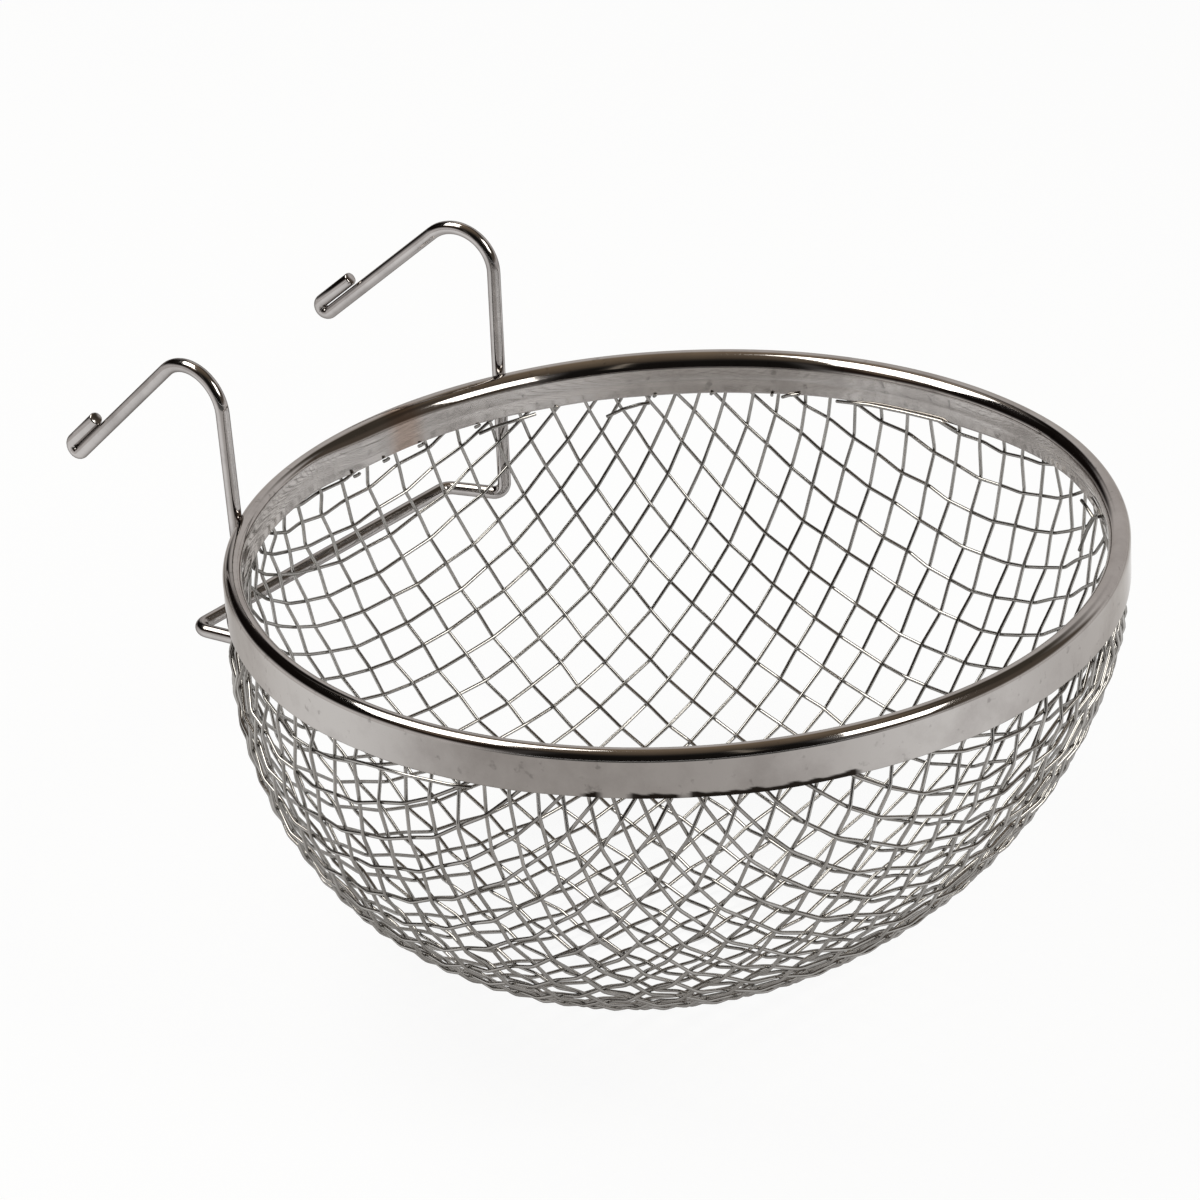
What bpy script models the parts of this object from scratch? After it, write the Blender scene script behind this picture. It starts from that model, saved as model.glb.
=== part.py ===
"""Bird nest pan: a woven wire bowl in a folded steel rim, hung by one bent wire.

The rim's centre, at the top of its bead, is the working origin. Everything hangs from an
empty that puts the world's origin where a cage bar sits, under the middle of the hooks.
Lengths are in metres. +Z is up and +Y points away from the bowl, towards the cage bars.
"""

import math

import bpy
import numpy as np

# Rim: a strip of sheet steel folded over the edge of the cloth
RIM_DIAMETER = 0.120
RIM_OUTER_DEPTH = 0.0063
RIM_INNER_DEPTH = 0.0057
RIM_SHEET = 0.00045
BEAD_OUTER_RADIUS = 0.0014
RIM_STEPS = 72
BEAD_STEPS = 8

# Cloth: plain weave of round wire. The wires keep their count when the bowl changes size
CLOTH_WIRE = 0.0005
WARP_COUNT = 27
WEFT_COUNT = 31
CLOTH_TURN = math.radians(-12.7)
LAY_GAP = 0.0001
CLOTH_TO_RIM_GAP = 0.00046
CLOTH_TO_FLANGE_GAP = 0.00104
CLOTH_TUCK = 0.0030
EDGE_CELLS = 0.75

# Bowl: the cloth pressed into a round form that sits a little off the rim's axis
BOWL_DEPTH = 0.0540
BOWL_SIDE_POWER = 2.26
BOWL_BASE_POWER = 1.98
BOWL_BELLY = 0.0011
BOWL_BELLY_RUN = 0.0050
BOWL_OFFSET_X = -0.0043
BOWL_OFFSET_Y = 0.0054

# Hanger: one wire that makes both hooks, both legs and the crossbar
HANGER_WIRE = 0.0019
LEG_SPACING = 0.0552
LEG_TO_RIM_GAP = 0.0002
HOOK_HEIGHT = 0.0217
HOOK_REACH = 0.0296
HOOK_DROOP = math.radians(41.2)
HOOK_BEND = 0.0059
HOOK_TOE_IN = math.radians(6.0)
FOLD_LENGTH = 0.0096
FOLD_GAP = 0.0002
CROSSBAR_DROP = 0.0198
CROSSBAR_LENGTH = 0.0535
CROSSBAR_STANDOFF = 0.0090
FOOT_BEND = 0.0019
BEND_STEP = math.radians(20)

# Sizes that follow from those above
LIFT = (CLOTH_WIRE + LAY_GAP) / 2
CLOTH_THICKNESS = 2 * (CLOTH_WIRE + LIFT - CLOTH_WIRE / 2)
CHANNEL = CLOTH_TO_RIM_GAP + CLOTH_THICKNESS + CLOTH_TO_FLANGE_GAP
BEAD_INNER_RADIUS = CHANNEL + 2 * RIM_SHEET - BEAD_OUTER_RADIUS
RIM_RADIUS = RIM_DIAMETER / 2
CROWN_RADIUS = RIM_RADIUS - BEAD_OUTER_RADIUS
FLANGE_RADIUS = CROWN_RADIUS - BEAD_INNER_RADIUS
SEAT_RADIUS = RIM_RADIUS - RIM_SHEET - CLOTH_TO_RIM_GAP - CLOTH_THICKNESS / 2
MOUTH = -max(RIM_OUTER_DEPTH, RIM_INNER_DEPTH)
CLOTH_END = -RIM_OUTER_DEPTH + CLOTH_TUCK
LEG_X = LEG_SPACING / 2
LEG_Y = math.sqrt((RIM_RADIUS + LEG_TO_RIM_GAP + HANGER_WIRE / 2) ** 2 - LEG_X**2)
HOOK_SEAT = HOOK_HEIGHT - HANGER_WIRE
UP = np.array([0.0, 0.0, 1.0])

# Solver: steps that bring a guess onto the bowl, the reach of a slope measurement, and limits of joins
SOLVE_STEPS = 12
SLOPE_REACH = 1e-6
TRACE_STEP = 0.0005
SHORT_END = 0.08
WELD_REACH = 1e-5


def bowl_radius(depth):
    """Radius of the round form at its widest: it bellies out just below the rim."""
    share = min(max(depth / BOWL_BELLY_RUN, 0.0), 1.0)
    return SEAT_RADIUS + BOWL_BELLY * share * share * (3 - 2 * share)


def bowl_level(point):
    """Zero on the middle of the cloth, below zero inside the bowl."""
    depth = max(MOUTH - point[2], 0.0)
    share = depth / BOWL_DEPTH
    out = math.hypot(point[0] - BOWL_OFFSET_X * share, point[1] - BOWL_OFFSET_Y * share)
    return (out / bowl_radius(depth)) ** BOWL_SIDE_POWER + share**BOWL_BASE_POWER - 1


def bowl_slope(point):
    """How bowl_level changes along X, Y and Z."""
    shifts = np.eye(3) * SLOPE_REACH
    return np.array([bowl_level(point + s) - bowl_level(point - s) for s in shifts]) / (2 * SLOPE_REACH)


def bowl_normal(point):
    """Unit vector out of the bowl."""
    slope = bowl_slope(point)
    return slope / np.linalg.norm(slope)


def bowl_point(guess, rules):
    """The bowl point near a guess where every rule, a (miss, slope) function, is met."""
    point = guess
    for _ in range(SOLVE_STEPS):
        found = [rule(point) for rule in rules]
        misses = np.array([miss for miss, _ in found] + [bowl_level(point)])
        slopes = np.array([slope for _, slope in found] + [bowl_slope(point)])
        point = point - np.linalg.solve(slopes, misses)
    return point


def at_distance(centre, distance):
    """Rule: the point is this far from a centre."""
    return lambda point: ((point - centre) @ (point - centre) - distance**2, 2 * (point - centre))


def in_plane(origin, normal):
    """Rule: the point is in a plane."""
    return lambda point: ((point - origin) @ normal, normal)


def trace(start, heading, step):
    """Points a step apart over the bowl, in the upright plane of a heading, up into the rim."""
    plane = in_plane(start, np.cross(UP, heading))
    last, ahead = start, heading * step
    while last[2] < CLOTH_END:
        point = bowl_point(last + ahead, (at_distance(last, step), plane))
        last, ahead = point, point - last
        yield point


def arc_to_mouth(start, heading):
    """Length over the bowl from a point to the rim's mouth."""
    length, last = 0.0, start
    for point in trace(start, heading, TRACE_STEP):
        if point[2] >= MOUTH:
            break
        length, last = length + TRACE_STEP, point
    return length + TRACE_STEP * (MOUTH - last[2]) / (point[2] - last[2])


def centred(start, heading):
    """The bowl point midway between the two rim mouths along a heading, and the arc between them."""
    ahead = arc_to_mouth(start, heading)
    behind = arc_to_mouth(start, -heading)
    shift = (ahead - behind) / 2
    moved = next(trace(start, heading * math.copysign(1, shift), abs(shift)))
    return moved, ahead + behind


def drape():
    """The cloth's knots on the bowl, keyed by (weft, warp) number from the middle outwards.

    Two middle wires follow upright planes. Every other knot lies one pitch from both of its
    inner neighbours, as a flat weave shears when it is pressed over a form.
    """
    across = np.array([math.cos(CLOTH_TURN), math.sin(CLOTH_TURN), 0.0])
    along = np.cross(UP, across)
    lowest = np.array([BOWL_OFFSET_X, BOWL_OFFSET_Y, MOUTH - BOWL_DEPTH])
    middle, along_arc = centred(lowest, along)
    middle, across_arc = centred(middle, across)
    along_pitch = along_arc / (WEFT_COUNT - 1 + 2 * EDGE_CELLS)
    across_pitch = across_arc / (WARP_COUNT - 1 + 2 * EDGE_CELLS)
    knots = {(0, 0): middle}
    for sign in (1, -1):
        for n, point in enumerate(trace(middle, sign * along, along_pitch), 1):
            knots[sign * n, 0] = point
        for n, point in enumerate(trace(middle, sign * across, across_pitch), 1):
            knots[0, sign * n] = point
    reach = range(1, WARP_COUNT + WEFT_COUNT)
    for i_sign, j_sign in ((1, 1), (1, -1), (-1, 1), (-1, -1)):
        for i in reach:
            for j in reach:
                inner = knots.get((i_sign * (i - 1), j_sign * j))
                before = knots.get((i_sign * i, j_sign * (j - 1)))
                if inner is None or before is None or min(inner[2], before[2]) > CLOTH_END:
                    break
                corner = knots[i_sign * (i - 1), j_sign * (j - 1)]
                rules = (at_distance(inner, along_pitch), at_distance(before, across_pitch))
                knots[i_sign * i, j_sign * j] = bowl_point(inner + before - corner, rules)
    return knots


def lifted(knots, key, over):
    """A wire's centre at a knot: outside its crossing wire where it goes over, inside where under."""
    side = 1 if (sum(key) % 2 == 0) == over else -1
    return knots[key] + side * LIFT * bowl_normal(knots[key])


def half_wire(knots, keys, over):
    """A wire's points from the cloth's middle to its cut end in the rim."""
    points = []
    for key, following in zip(keys, keys[1:]):
        points.append(lifted(knots, key, over))
        if following not in knots:
            break
        low, high = knots[key][2], knots[following][2]
        if high >= CLOTH_END:
            share = (CLOTH_END - low) / (high - low)
            end = points[-1] + share * (lifted(knots, following, over) - points[-1])
            points[-1:] = [end] if share < SHORT_END else [points[-1], end]
            break
    return points


def wire_route(knots, number, over):
    """One wire's points from rim to rim. Warp wires start over, weft wires start under."""
    reach = range(WARP_COUNT + WEFT_COUNT)
    ways = []
    for sign in (-1, 1):
        keys = [(sign * n, number) if over else (number, sign * n) for n in reach]
        ways.append(half_wire(knots, keys, over))
    return ways[0][:0:-1] + ways[1]


def bead(inset):
    """Points over the rim's bead, from its outer to its inner side, this far under its surface."""
    points = []
    for n in range(BEAD_STEPS + 1):
        turn = math.pi * n / BEAD_STEPS
        radius = BEAD_OUTER_RADIUS if 2 * n < BEAD_STEPS else BEAD_INNER_RADIUS
        reach = radius - inset
        points.append((CROWN_RADIUS + math.cos(turn) * reach, math.sin(turn) * reach - radius))
    return points


def rim_profile():
    """Section of the folded strip as (radius, height), down its outer side first."""
    surface = bead(0.0)
    outer_lip = [(RIM_RADIUS, -RIM_OUTER_DEPTH), (RIM_RADIUS - RIM_SHEET, -RIM_OUTER_DEPTH)]
    inner_lip = [(FLANGE_RADIUS + RIM_SHEET, -RIM_INNER_DEPTH), (FLANGE_RADIUS, -RIM_INNER_DEPTH)]
    half = BEAD_STEPS // 2
    return surface[half::-1] + outer_lip + bead(RIM_SHEET)[::2] + inner_lip + surface[:half:-1]


def rounded(corners, radii):
    """A route through corners, with each inner corner turned by an arc of its own radius."""
    route = [corners[0]]
    for before, corner, after, radius in zip(corners, corners[1:], corners[2:], radii):
        inward = (before - corner) / np.linalg.norm(before - corner)
        outward = (after - corner) / np.linalg.norm(after - corner)
        turn = math.pi - math.acos(float(np.clip(inward @ outward, -1, 1)))
        bisector = (inward + outward) / np.linalg.norm(inward + outward)
        centre = corner + bisector * radius / math.cos(turn / 2)
        first = corner + inward * radius * math.tan(turn / 2) - centre
        sideways = -inward * radius
        steps = max(2, math.ceil(turn / BEND_STEP))
        for n in range(steps + 1):
            angle = turn * n / steps
            route.append(centre + first * math.cos(angle) + sideways * math.sin(angle))
    return route + [corners[-1]]


def hanger_half(side):
    """One half of the hanger's centre line, from the cut end of a fold to the crossbar's middle."""
    leg = np.array([side * LEG_X, LEG_Y, 0.0])
    out = np.array([-side * math.sin(HOOK_TOE_IN), math.cos(HOOK_TOE_IN), 0.0])
    arm = out * math.cos(HOOK_DROOP) - UP * math.sin(HOOK_DROOP)
    above = out * math.sin(HOOK_DROOP) + UP * math.cos(HOOK_DROOP)
    fold_pitch = HANGER_WIRE + FOLD_GAP
    turn = math.pi / 2 + HOOK_DROOP
    crown = HOOK_HEIGHT - HANGER_WIRE / 2 - HOOK_BEND + HOOK_BEND * math.tan(turn / 2)
    arm_length = (HOOK_REACH - HANGER_WIRE / 2) / math.cos(HOOK_DROOP)
    peak = leg + UP * crown
    tip = peak + arm * arm_length
    foot = leg - UP * CROSSBAR_DROP
    bar_end = np.array([side * CROSSBAR_LENGTH / 2, LEG_Y + CROSSBAR_STANDOFF, -CROSSBAR_DROP])
    bar_middle = bar_end * np.array([0.0, 1.0, 1.0])
    fold_end = tip + above * fold_pitch - arm * FOLD_LENGTH
    corners = [fold_end, tip + above * fold_pitch, tip, peak, foot, bar_end, bar_middle]
    return rounded(corners, [fold_pitch / 2, fold_pitch / 2, HOOK_BEND, FOOT_BEND, FOOT_BEND])


def plated_steel(name, colour, roughness):
    """A bright plated steel finish."""
    material = bpy.data.materials.new(name)
    material.use_nodes = True
    shader = material.node_tree.nodes["Principled BSDF"]
    shader.inputs["Base Color"].default_value = (*colour, 1.0)
    shader.inputs["Metallic"].default_value = 1.0
    shader.inputs["Roughness"].default_value = roughness
    return material


def add_part(name, data, material, carrier, collection):
    """An object of the nest pan, hung from its carrier."""
    part = bpy.data.objects.new(name, data)
    data.materials.append(material)
    part.parent = carrier
    collection.objects.link(part)
    return part


def wire_curve(name, points, diameter, bevel_resolution):
    """A round wire along straight steps between points, with closed ends."""
    curve = bpy.data.curves.new(name, "CURVE")
    curve.dimensions = "3D"
    curve.bevel_depth = diameter / 2
    curve.bevel_resolution = bevel_resolution
    curve.use_fill_caps = True
    spline = curve.splines.new("POLY")
    spline.points.add(len(points) - 1)
    for spline_point, point in zip(spline.points, points):
        spline_point.co = (*point, 1.0)
    return curve


def add_rim(carrier, collection):
    """The rim band, turned from its folded section."""
    section = [(r, 0.0, z) for r, z in rim_profile()]
    edges = [(n, (n + 1) % len(section)) for n in range(len(section))]
    mesh = bpy.data.meshes.new("rim_band")
    mesh.from_pydata(section, edges, [])
    finish = plated_steel("rim nickel", (0.62, 0.60, 0.58), 0.22)
    rim = add_part("rim_band", mesh, finish, carrier, collection)
    screw = rim.modifiers.new("Turn", "SCREW")
    screw.axis = "Z"
    screw.steps = RIM_STEPS
    screw.render_steps = RIM_STEPS
    screw.use_merge_vertices = True
    screw.merge_threshold = WELD_REACH
    screw.use_smooth_shade = True


def add_cloth(carrier, collection):
    """The woven bowl: every warp and weft wire is a piece of its own."""
    knots = drape()
    families = (("warp_wire", WARP_COUNT, True), ("weft_wire", WEFT_COUNT, False))
    for family, count, over in families:
        finish = plated_steel(family.replace("_", " ") + " nickel", (0.55, 0.54, 0.52), 0.25)
        for n in range(count):
            name = f"{family}_{n + 1:02d}"
            route = wire_route(knots, n - count // 2, over)
            add_part(name, wire_curve(name, route, CLOTH_WIRE, 0), finish, carrier, collection)


def add_hanger(carrier, collection):
    """The hanger wire, bent in one length."""
    left = hanger_half(-1)
    right = hanger_half(1)
    route = left[:-1] + right[-2::-1]
    finish = plated_steel("hanger chrome", (0.60, 0.59, 0.57), 0.12)
    add_part("hanger_wire", wire_curve("hanger_wire", route, HANGER_WIRE, 2), finish, carrier, collection)


def main():
    for leftover in list(bpy.data.objects):
        bpy.data.objects.remove(leftover)
    collection = bpy.data.collections.new("Bird nest pan")
    bpy.context.scene.collection.children.link(collection)
    carrier = bpy.data.objects.new("rim_centre", None)
    carrier.location = (0.0, -LEG_Y - HOOK_BEND, -HOOK_SEAT)
    collection.objects.link(carrier)
    add_rim(carrier, collection)
    add_cloth(carrier, collection)
    add_hanger(carrier, collection)


main()
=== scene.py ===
"""Looks of a bird nest pan: a woven wire bowl in a folded steel rim, hung by one bent wire.

Lengths are in metres unless a name ends in _mm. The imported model's origin lies under the hooks,
+Z is up and +Y points away from the bowl, towards the cage bars.
"""

import logging
import math
from dataclasses import dataclass, field
from enum import Enum
from typing import Iterator

import bpy
import numpy as np
from mathutils import Matrix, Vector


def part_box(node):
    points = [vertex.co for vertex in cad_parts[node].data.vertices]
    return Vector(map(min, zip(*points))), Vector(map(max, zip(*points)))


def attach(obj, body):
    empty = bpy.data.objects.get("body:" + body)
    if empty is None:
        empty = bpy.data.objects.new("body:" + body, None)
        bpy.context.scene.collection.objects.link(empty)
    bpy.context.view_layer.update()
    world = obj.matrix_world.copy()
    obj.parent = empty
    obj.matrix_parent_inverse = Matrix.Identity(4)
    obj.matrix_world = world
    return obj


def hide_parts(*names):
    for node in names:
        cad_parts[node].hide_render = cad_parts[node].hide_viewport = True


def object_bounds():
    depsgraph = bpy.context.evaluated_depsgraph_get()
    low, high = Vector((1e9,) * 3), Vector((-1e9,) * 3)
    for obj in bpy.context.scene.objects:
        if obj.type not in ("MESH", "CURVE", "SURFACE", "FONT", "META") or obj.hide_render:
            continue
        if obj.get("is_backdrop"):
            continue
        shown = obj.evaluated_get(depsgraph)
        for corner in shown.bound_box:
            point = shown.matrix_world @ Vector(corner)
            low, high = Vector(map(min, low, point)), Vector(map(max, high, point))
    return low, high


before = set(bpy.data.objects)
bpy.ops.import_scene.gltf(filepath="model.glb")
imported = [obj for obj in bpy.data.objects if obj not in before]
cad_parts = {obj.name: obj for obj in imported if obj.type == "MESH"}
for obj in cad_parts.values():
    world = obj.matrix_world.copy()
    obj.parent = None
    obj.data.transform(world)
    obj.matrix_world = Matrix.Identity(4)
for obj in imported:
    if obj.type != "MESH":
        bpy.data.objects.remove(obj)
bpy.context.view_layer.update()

LOG = logging.getLogger("nest_pan")
MM = 0.001
BODY = "root"
WHITE = "#FFFFFF"
UP = np.array([0.0, 0.0, 1.0])
# A vector that no end of a wire runs along, from which its round section starts
ASLANT = np.array([0.3, 0.5, 0.81])
# Sockets of the Mix node for colours, whose names are those of its other kinds too
MIX_SHARE, MIX_FIRST, MIX_SECOND, MIX_COLOUR = 0, 6, 7, 2

TurnMarks = tuple[tuple[float, float], ...]
Waves = tuple[tuple[int, float, float], ...]
Route = tuple[tuple[float, float, float], ...]


class Family(Enum):
    """The two ways that wires run in the cloth."""

    WARP = "warp"
    WEFT = "weft"


def to_linear(colour: str) -> tuple[float, float, float, float]:
    """Turns an sRGB hex colour into linear values.

    Args:
        colour: six hex digits after a hash sign.

    Returns:
        Red, green, blue and a full alpha.
    """
    parts = [int(colour[n : n + 2], 16) / 255 for n in (1, 3, 5)]
    linear = [p / 12.92 if p <= 0.04045 else ((p + 0.055) / 1.055) ** 2.4 for p in parts]
    return (*linear, 1.0)


def add_node(
    tree: bpy.types.NodeTree,
    kind: str,
    values: dict[str | int, object] | None = None,
    links: dict[str | int, bpy.types.NodeSocket] | None = None,
    **properties: object,
) -> bpy.types.Node:
    """Adds a node with its settings and links.

    Args:
        tree: node tree that takes the node.
        kind: Blender's name for the type of node.
        values: constants for inputs, by name or number.
        links: sockets that feed inputs, by name or number.
        properties: other settings of the node.

    Returns:
        The new node.
    """
    node = tree.nodes.new(kind)
    for name, setting in properties.items():
        setattr(node, name, setting)
    for key, value in (values or {}).items():
        node.inputs[key].default_value = value
    for key, socket in (links or {}).items():
        tree.links.new(socket, node.inputs[key])
    return node


def bare_material(name: str) -> bpy.types.Material:
    """Starts a material that has an output and no shader yet.

    Args:
        name: of the material.

    Returns:
        The material.
    """
    material = bpy.data.materials.new(name)
    material.use_nodes = True
    nodes = material.node_tree.nodes
    nodes.remove(nodes["Principled BSDF"])
    return material


def unit(vector: np.ndarray) -> np.ndarray:
    """The vector at length one, along its last axis."""
    return vector / np.linalg.norm(vector, axis=-1, keepdims=True)


def turn_matrix(angle: float, first: int, second: int) -> np.ndarray:
    """A turn in the plane of two axes.

    Args:
        angle: in radians.
        first: number of one axis.
        second: number of the other.

    Returns:
        Three rows of three.
    """
    matrix = np.eye(3)
    matrix[first, first] = matrix[second, second] = math.cos(angle)
    matrix[first, second] = math.sin(angle)
    matrix[second, first] = -math.sin(angle)
    return matrix


def ease(value: np.ndarray, start: float, stop: float) -> np.ndarray:
    """Zero at the start, one at the stop and a soft step between."""
    share = np.clip((value - start) / (stop - start), 0, 1)
    return share * share * (3 - 2 * share)


def grid_faces(rows: int, columns: int, ring: bool = False, loop: bool = True) -> np.ndarray:
    """Faces between neighbours in a grid of points.

    Args:
        rows: of points.
        columns: points in each row.
        ring: whether the last row meets the first.
        loop: whether each row's last point meets its first.

    Returns:
        Four corner numbers for each face.
    """
    row, column = np.indices((rows if ring else rows - 1, columns if loop else columns - 1))
    here, ahead, after = row * columns, (row + 1) % rows * columns, (column + 1) % columns
    return np.stack([here + column, here + after, ahead + after, ahead + column], -1).reshape(-1, 4)


@dataclass
class Shape:
    """Points, faces and point attributes of a piece while it is being made."""

    points: list[np.ndarray] = field(default_factory=list)
    faces: list[list[int]] = field(default_factory=list)
    marks: dict[str, list[np.ndarray]] = field(default_factory=dict)
    count: int = 0

    def add(self, points: np.ndarray, faces: np.ndarray | list[list[int]], **marks: np.ndarray) -> None:
        """Adds points and the faces between them.

        Args:
            points: rows of x, y, z.
            faces: corner numbers, counted from these points.
            marks: one value or vector per point, by attribute name.
        """
        self.faces.extend([int(c) + self.count for c in corners] for corners in faces)
        self.points.append(points)
        for name, values in marks.items():
            self.marks.setdefault(name, []).append(values)
        self.count += len(points)

    def piece(self, name: str, at: np.ndarray) -> bpy.types.Object:
        """Makes a smooth mesh object.

        Args:
            name: name of the piece.
            at: where the shape's own zero goes.

        Returns:
            The object, in the scene.
        """
        mesh = bpy.data.meshes.new(name)
        mesh.from_pydata((np.concatenate(self.points) + at).tolist(), [], self.faces)
        for mark, parts in self.marks.items():
            values = np.concatenate(parts)
            kind, key = ("FLOAT_VECTOR", "vector") if values.ndim == 2 else ("FLOAT", "value")
            layer = mesh.attributes.new(mark, kind, "POINT")
            layer.data.foreach_set(key, values.astype(np.float32).ravel())
        mesh.shade_smooth()
        mesh.validate()
        piece = bpy.data.objects.new(name, mesh)
        bpy.context.scene.collection.objects.link(piece)
        return piece


@dataclass(frozen=True)
class PlatedSteel:
    """Bright plate on steel, seen as a dim mirror with dull smudges and drawn or rolled lines.

    The lines follow the attribute lay, which runs along the metal, across it and out of it, in
    millimetres. Real ones lie some hundredths of a millimetre apart: here they are as coarse as they need
    to be to show.
    """

    name: str
    plate: str
    dull: str
    edge: str
    roughness: float
    dull_roughness: float
    smudge_mm: float
    line_mm: float
    line_length_mm: float
    line_depth_mm: float
    dent_mm: float
    dent_depth_mm: float
    specks: float = 0.0
    speck_mm: float = 1.6
    smudge_range: tuple[float, float] = (0.42, 0.74)
    speck_range: tuple[float, float] = (0.64, 0.74)
    tint: str = "#B2A298"
    # Dark colour of the specks of dirt, and of the painted shade along the rim's lip and at the wire
    # crossings
    soil: str = "#2A2521"

    def surface(self, tree: bpy.types.NodeTree) -> tuple[bpy.types.NodeSocket, bpy.types.NodeSocket]:
        """Adds the plate's colour and its dullness.

        Args:
            tree: the material's nodes.

        Returns:
            The colour, and a share from bright to dull.
        """
        place = add_node(tree, "ShaderNodeTexCoord").outputs["Object"]
        smudge = add_node(
            tree, "ShaderNodeTexNoise",
            {"Scale": 1 / (self.smudge_mm * MM), "Detail": 5.0, "Roughness": 0.62}, {"Vector": place},
        ).outputs["Fac"]
        low, top = self.smudge_range
        share = add_node(
            tree, "ShaderNodeMapRange", {"From Min": low, "From Max": top}, {"Value": smudge}
        ).outputs["Result"]
        colour = add_node(
            tree, "ShaderNodeMix", {MIX_FIRST: to_linear(self.plate), MIX_SECOND: to_linear(self.dull)},
            {MIX_SHARE: share}, data_type="RGBA",
        ).outputs[MIX_COLOUR]
        speck = add_node(
            tree, "ShaderNodeTexNoise", {"Scale": 1 / (self.speck_mm * MM), "Detail": 3.0}, {"Vector": place}
        ).outputs["Fac"]
        low, top = self.speck_range
        spots = add_node(
            tree, "ShaderNodeMapRange", {"From Min": low, "From Max": top, "To Max": self.specks},
            {"Value": speck},
        ).outputs["Result"]
        # Laid over the plate: specks of dirt, the weld's heat tint, and painted shade along the rim's lip and
        # where the wires cross
        stains_and_shades = [(spots, self.soil)]
        for mark, laid_colour in (("tint", self.tint), ("soil", self.soil)):
            stains_and_shades.append((add_node(tree, "ShaderNodeAttribute", attribute_name=mark).outputs["Fac"], laid_colour))
        for amount, laid_colour in stains_and_shades:
            colour = add_node(
                tree, "ShaderNodeMix", {MIX_SECOND: to_linear(laid_colour)}, {MIX_SHARE: amount, MIX_FIRST: colour},
                data_type="RGBA",
            ).outputs[MIX_COLOUR]
        return colour, share

    def relief(self, tree: bpy.types.NodeTree) -> bpy.types.NodeSocket:
        """Adds the lines left by drawing or rolling, over shallow dents.

        Args:
            tree: the material's nodes.

        Returns:
            The surface normal.
        """
        place = add_node(tree, "ShaderNodeTexCoord").outputs["Object"]
        dents = add_node(
            tree, "ShaderNodeTexNoise", {"Scale": 1 / (self.dent_mm * MM), "Detail": 2.0}, {"Vector": place}
        ).outputs["Fac"]
        lay = add_node(tree, "ShaderNodeAttribute", attribute_name="lay").outputs["Vector"]
        stretched = add_node(
            tree, "ShaderNodeVectorMath", {1: (self.line_mm / self.line_length_mm, 1.0, 1.0)}, {0: lay},
            operation="MULTIPLY",
        ).outputs["Vector"]
        lines = add_node(
            tree, "ShaderNodeTexNoise", {"Scale": 1 / self.line_mm, "Detail": 2.0}, {"Vector": stretched}
        ).outputs["Fac"]
        dented = add_node(
            tree, "ShaderNodeBump", {"Distance": self.dent_depth_mm * MM, "Strength": 1.0}, {"Height": dents}
        ).outputs["Normal"]
        return add_node(
            tree, "ShaderNodeBump", {"Distance": self.line_depth_mm * MM, "Strength": 1.0},
            {"Height": lines, "Normal": dented},
        ).outputs["Normal"]

    def material(self) -> bpy.types.Material:
        """Builds the finish. Metal keeps the shader's default IOR.

        Returns:
            A material with its nodes.
        """
        material = bpy.data.materials.new(self.name)
        material.use_nodes = True
        tree = material.node_tree
        shader = tree.nodes["Principled BSDF"]
        shader.inputs["Metallic"].default_value = 1.0
        shader.inputs["Specular Tint"].default_value = to_linear(self.edge)
        colour, share = self.surface(tree)
        rough = add_node(
            tree, "ShaderNodeMapRange", {"To Min": self.roughness, "To Max": self.dull_roughness},
            {"Value": share},
        ).outputs["Result"]
        tree.links.new(colour, shader.inputs["Base Color"])
        tree.links.new(rough, shader.inputs["Roughness"])
        tree.links.new(self.relief(tree), shader.inputs["Normal"])
        return material


# Nickel over rolled strip: a soft grey mirror, with finger marks and lines along the strip
RIM_NICKEL = PlatedSteel(
    name="nickel-plated sheet steel", plate="#C0BCB9", dull="#AAA5A2", edge="#DAD7D4",
    roughness=0.06, dull_roughness=0.14, smudge_mm=9.0, line_mm=0.35, line_length_mm=14.0,
    line_depth_mm=0.0012, dent_mm=7.0, dent_depth_mm=0.006, specks=0.3,
)
# Nickel over drawn wire: duller, and darker where it turns away, with painted shade where the wires cross
CLOTH_NICKEL = PlatedSteel(
    name="nickel-plated drawn steel wire", plate="#C0BEBB", dull="#A5A39F", edge="#9E9C99",
    roughness=0.12, dull_roughness=0.20, smudge_mm=5.0, line_mm=0.20, line_length_mm=6.0,
    line_depth_mm=0.0004, dent_mm=2.0, dent_depth_mm=0.001,
)
# Chrome over straightened wire: the palest of the three, with a clear mirror on its bends
HANGER_CHROME = PlatedSteel(
    name="chromed steel wire", plate="#C2BEBC", dull="#A6A2A0", edge="#9A9795",
    roughness=0.08, dull_roughness=0.16, smudge_mm=6.0, line_mm=0.30, line_length_mm=12.0,
    line_depth_mm=0.0015, dent_mm=5.0, dent_depth_mm=0.004,
)


def dress(piece: bpy.types.Object, finish: PlatedSteel, nodes: list[str]) -> None:
    """Gives a piece its finish and its place in the model.

    Args:
        piece: the object.
        finish: what it is made of.
        nodes: the model's nodes that it stands for.
    """
    piece.data.materials.append(finish.material())
    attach(piece, BODY)
    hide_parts(*nodes)
    points = len(piece.data.vertices)
    LOG.info("%s: %d points, %s, for %d nodes", piece.name, points, finish.name, len(nodes))


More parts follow.
